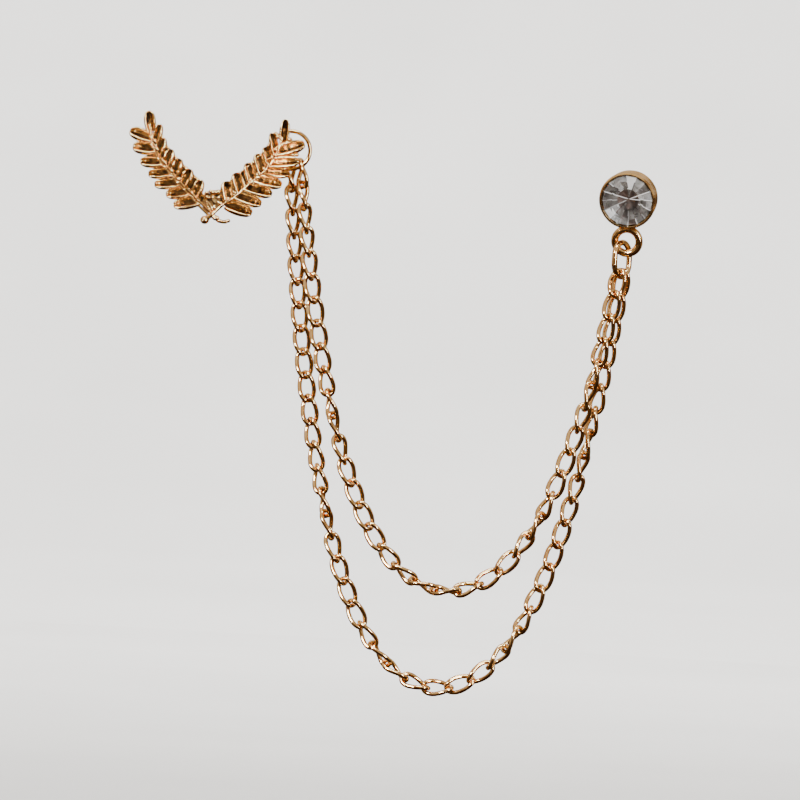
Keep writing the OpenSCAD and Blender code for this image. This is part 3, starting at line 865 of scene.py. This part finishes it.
CUP_SIDES = 96
CUP_PROFILE = [  # radius and z, from the middle of the back out and round into the seat
    (0.2, -4.0), (2.4, -4.0), (4.0, -3.99), (4.28, -3.92), (4.39, -3.78), (4.37, -3.62),
    (4.28, -3.0), (4.2, -2.4), (4.17, -1.9), (4.13, -1.5), (4.12, -1.25), (4.2, -1.12),
    (4.42, -1.06), (4.54, -0.92), (4.58, -0.75), (4.58, -0.5), (4.54, -0.34), (4.42, -0.22),
    (4.38, -0.14), (4.38, -0.06), (4.33, 0.01), (4.24, 0.03), (4.15, 0.0), (4.11, -0.08),
    (4.11, -0.62), (3.4, -1.13), (2.2, -1.99), (0.9, -2.9), (0.45, -3.2), (0.1, -3.2),
]
LOOP_STEPS = 90
LOOP_SIDES = 24
SOLDER_SIDES = 32
SOLDER_NECK = [(0.52, 0.3), (0.5, 0.55), (0.56, 0.8), (0.74, 1.0), (0.8, 1.25)]  # radius, height


def cup():
    """The turned cup, its loop, and the solder between them."""
    shell = Shell()
    t = full_turn(CUP_SIDES)
    shell.rings([in_stud(level_ring(t, radius, z)) for radius, z in CUP_PROFILE])
    a = full_turn(LOOP_STEPS)
    spine = LOOP_PLACE + level_ring(a, LOOP_RADIUS, 0)
    rings = wire_rings(spine, LOOP_WIRE / 2, LOOP_SIDES, np.tile([0, 0, 1.0], (len(a), 1)))
    shell.rings(in_stud(rings.reshape(-1, 3)).reshape(rings.shape), closed=True)
    t = full_turn(SOLDER_SIDES)
    top = LOOP_PLACE + [0, LOOP_RADIUS, 0]
    shell.rings([in_stud(top + upright_ring(t, radius, height))
                 for radius, height in SOLDER_NECK])
    piece = shell.build("stud_setting", [CAST], sharp_angle=40)
    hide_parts("stud_cup")


# Stone, in the stud's axes
TABLE_RADIUS = 2.45
TABLE_Z = 0.62
STAR_RADIUS = 3.15
GIRDLE_TOP = -0.1
GIRDLE_LOW = -0.3
CULET_Z = -2.7
FACETS = 16  # round the girdle; half as many round the table
FACET_ANGLE = 360 / FACETS

# Foil behind the stone: 16 wedges in four rings, with thin seams between the wedges. The tones
# are
# painted reflections of the facets: D dark brown, G grey, L light, W white painted glints
WEDGE_START = 2.5  # degrees of the first seam
WEDGE_RINGS = [  # outer and inner radius, tones of the wedges, tones of the seams
    (4.05, 3.05, "LGLWLLGGGWLGDGGL", "WWLWWLWWLLWGLWLW"),
    (3.05, 1.75, "LGLWGLGGGLGDGGGG", "WWLDWLDWLLDGLDDW"),
    (1.75, 0.45, "DDDGDDDDDDGDDDDD", "WWDDGDDWDLDDDGDD"),
    (0.45, 0.06, "GDDGDDGDDGDDGDDG", "WWDDDDDWDDDDDDDD"),
]
SEAM_HALF = 0.07  # half width of a seam, in mm, or less near the point
TONE_SLOT = {"D": 1, "G": 2, "L": 3, "W": 4}


def facet_ring(n, radius, z, turn):
    """n corners of facets, the first turned by that many degrees."""
    return level_ring(np.radians(360 * np.arange(n) / n + turn), radius, z)


def crown(shell):
    """The 8-sided table, the stars and the kites down to the girdle."""
    slope = (GIRDLE_TOP - TABLE_Z) / (STONE_RADIUS - TABLE_RADIUS)
    to_side = STAR_RADIUS * math.cos(math.radians(FACET_ANGLE)) - TABLE_RADIUS
    n = FACETS // 2
    star, top = n, 2 * n
    faces = [tuple(range(n))]
    for k in range(n):
        m = (k + 1) % n
        faces += [(k, m, star + m), (star + k, top + 2 * k + 1, star + m, k),
                  (star + k, top + 2 * k + 1, top + 2 * k),
                  (star + m, top + 2 * m, top + 2 * k + 1)]
    shell.add(in_stud(np.vstack([facet_ring(n, TABLE_RADIUS, TABLE_Z, FACET_ANGLE),
                                 facet_ring(n, STAR_RADIUS, TABLE_Z + slope * to_side, 0),
                                 facet_ring(FACETS, STONE_RADIUS, GIRDLE_TOP, 0)])), faces)


def girdle(shell):
    """The band of small upright facets round the stone."""
    n = FACETS
    faces = [(k, (k + 1) % n, n + (k + 1) % n, n + k) for k in range(n)]
    shell.add(in_stud(np.vstack([facet_ring(n, STONE_RADIUS, GIRDLE_TOP, 0),
                                 facet_ring(n, STONE_RADIUS, GIRDLE_LOW, 0)])), faces)


def foil_ring(radius):
    """Two points at each seam of the foil's cone, at that radius."""
    seams = np.radians(WEDGE_START + FACET_ANGLE * np.arange(FACETS))
    off = min(SEAM_HALF, radius / 6) / radius
    z = GIRDLE_LOW + (CULET_Z - GIRDLE_LOW) * (1 - radius / STONE_RADIUS)
    return level_ring(np.stack([seams - off, seams + off], 1).ravel(), radius, z)


def foiled_back(shell):
    """The cone behind the stone: wedges with thin seams, each with its tone of painted
    reflection.
    """
    n = 2 * FACETS
    for outside, inside, tones, seam_tones in WEDGE_RINGS:
        faces, slots = [], []
        for k in range(FACETS):
            a, b, c = 2 * k, 2 * k + 1, (2 * k + 2) % n
            faces += [(a, b, n + b, n + a), (b, c, n + c, n + b)]
            slots += [TONE_SLOT[seam_tones[k]], TONE_SLOT[tones[k]]]
        shell.add(in_stud(np.vstack([foil_ring(outside), foil_ring(inside)])), faces, slots)


def stone():
    """A round brilliant on a foiled pointed back, its facets' reflections painted on the foil."""
    shell = Shell()
    crown(shell)
    girdle(shell)
    foiled_back(shell)
    piece = shell.build("cut_stone", [GLASS] + FOIL_PAINTED_REFLECTIONS, rounded=False)
    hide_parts("crystal")


cup()
stone()

# The hidden posts stay the solids' own, in their own metal
for name in ("laurel_pin", "stud_pin"):
    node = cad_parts[name]
    node.data.materials.clear()
    node.data.materials.append(PIN)

# Stage: a plain pale floor running up into a pale wall. Neither is mirrored in the metal, so that
# its reflections are the lamps and the dim studio round them. Profiles are radius and height
# over the floor.
FLOOR_Z = -125.0
MIDDLE = 0.01  # radius at which the turned floor and wall end
STAGE_SIDES = 96
FLOOR_PROFILE = [(MIDDLE, 0), (600, 0), (1300, 0)]
WALL_PROFILE = [(1300, 0), (1600, 25), (1850, 110), (2050, 300), (2160, 560), (2200, 900),
                (2200, 1500), (2000, 2200), (1000, 2600), (MIDDLE, 2700)]
PAPER = pale_paper()


def turned_stage(name, profile):
    """A surface of paper turned about Z."""
    t = full_turn(STAGE_SIDES)
    points = np.vstack([level_ring(t, radius, FLOOR_Z + height) for radius, height in profile])
    mesh = bpy.data.meshes.new(name)
    mesh.from_pydata((points * MM).tolist(), [], grid_faces(len(profile), STAGE_SIDES))
    mesh.materials.append(PAPER)
    mesh.shade_smooth()
    part = bpy.data.objects.new(name, mesh)
    part.visible_glossy = False
    bpy.context.scene.collection.objects.link(part)


turned_stage("floor", FLOOR_PROFILE)
turned_stage("wall", WALL_PROFILE)

# Light: name, place and aim of each soft panel in metres, its width and height, its brightness
CENTRE = (0.03, 0.0, -0.03)
LAMPS = [
    ("key", (-0.55, -1.0, 0.45), CENTRE, (0.28, 0.22), 75.0),
    ("right", (0.7, -0.9, 0.1), CENTRE, (0.08, 0.5), 52.0),
    ("top", (0.1, -0.5, 0.95), CENTRE, (0.5, 0.1), 40.0),
    ("wall", (0.0, 0.9, 1.0), (0.0, 2.0, 0.0), (1.2, 0.6), 18.0),
]
STUDIO_SCALE = 2.2
STUDIO_RISE = 0.25  # how much paler the room is overhead
STUDIO_TONES = [(0.38, (0.03, 0.015, 0.006)), (0.52, (0.26, 0.17, 0.10)),
                (0.68, (0.78, 0.67, 0.53))]


def area_light(name, place, aim, size, radiance):
    """A soft panel; its power follows from its size and how bright it looks."""
    light = bpy.data.lights.new(name, "AREA")
    light.shape = "RECTANGLE"
    light.size, light.size_y = size
    light.energy = math.pi * size[0] * size[1] * radiance
    lamp = bpy.data.objects.new(name, light)
    lamp.location = Vector(place)
    lamp.rotation_mode = "QUATERNION"
    lamp.rotation_quaternion = (Vector(aim) - Vector(place)).to_track_quat("-Z", "Y")
    bpy.context.scene.collection.objects.link(lamp)


def studio():
    """The dim room round the lamps: pale overhead, dark below, with soft warm patches."""
    world = bpy.data.worlds.new("studio")
    world.use_nodes = True
    tree = world.node_tree
    where = tree.nodes.new("ShaderNodeTexCoord")
    parts = tree.nodes.new("ShaderNodeSeparateXYZ")
    tree.links.new(where.outputs["Generated"], parts.inputs["Vector"])
    height = tree.nodes.new("ShaderNodeMath")
    height.operation = "MULTIPLY_ADD"
    height.inputs[1].default_value = STUDIO_RISE
    tree.links.new(parts.outputs["Z"], height.inputs[0])
    tree.links.new(noise(tree, STUDIO_SCALE, 1.0, "Generated"), height.inputs[2])
    colour = ramp(tree, height.outputs["Value"], STUDIO_TONES)
    tree.links.new(colour, tree.nodes["Background"].inputs["Color"])
    bpy.context.scene.world = world


for row in LAMPS:
    area_light(*row)
studio()

# Camera: a long lens straight on, rolled as the photograph is
MM_PER_PIXEL = 0.16
PHOTO_SIZE = 800
PHOTO_ORIGIN = (211, 204)  # pixel of the part's origin
PHOTO_ROLL = math.radians(3.2)
LENS = 250.0
SENSOR = 36.0
PICTURE_Y = -2.5  # depth of the plane that the scale holds for


def camera():
    """Frames the part as the photograph does."""
    cos_roll, sin_roll = math.cos(PHOTO_ROLL), math.sin(PHOTO_ROLL)
    right = (PHOTO_SIZE / 2 - PHOTO_ORIGIN[0]) * MM_PER_PIXEL
    down = (PHOTO_SIZE / 2 - PHOTO_ORIGIN[1]) * MM_PER_PIXEL
    distance = PHOTO_SIZE * MM_PER_PIXEL * LENS / SENSOR
    place = Vector((right * cos_roll + down * sin_roll, PICTURE_Y - distance,
                    right * sin_roll - down * cos_roll))
    turned = Matrix(((cos_roll, -sin_roll, 0), (0, 0, -1), (sin_roll, cos_roll, 0)))
    lens = bpy.data.cameras.new("camera")
    lens.lens = LENS
    lens.sensor_width = SENSOR
    lens.clip_start = 0.01
    lens.clip_end = 50.0
    view = bpy.data.objects.new("camera", lens)
    view.matrix_world = Matrix.Translation(place * MM) @ turned.to_4x4()
    bpy.context.scene.collection.objects.link(view)
    bpy.context.scene.camera = view


camera()
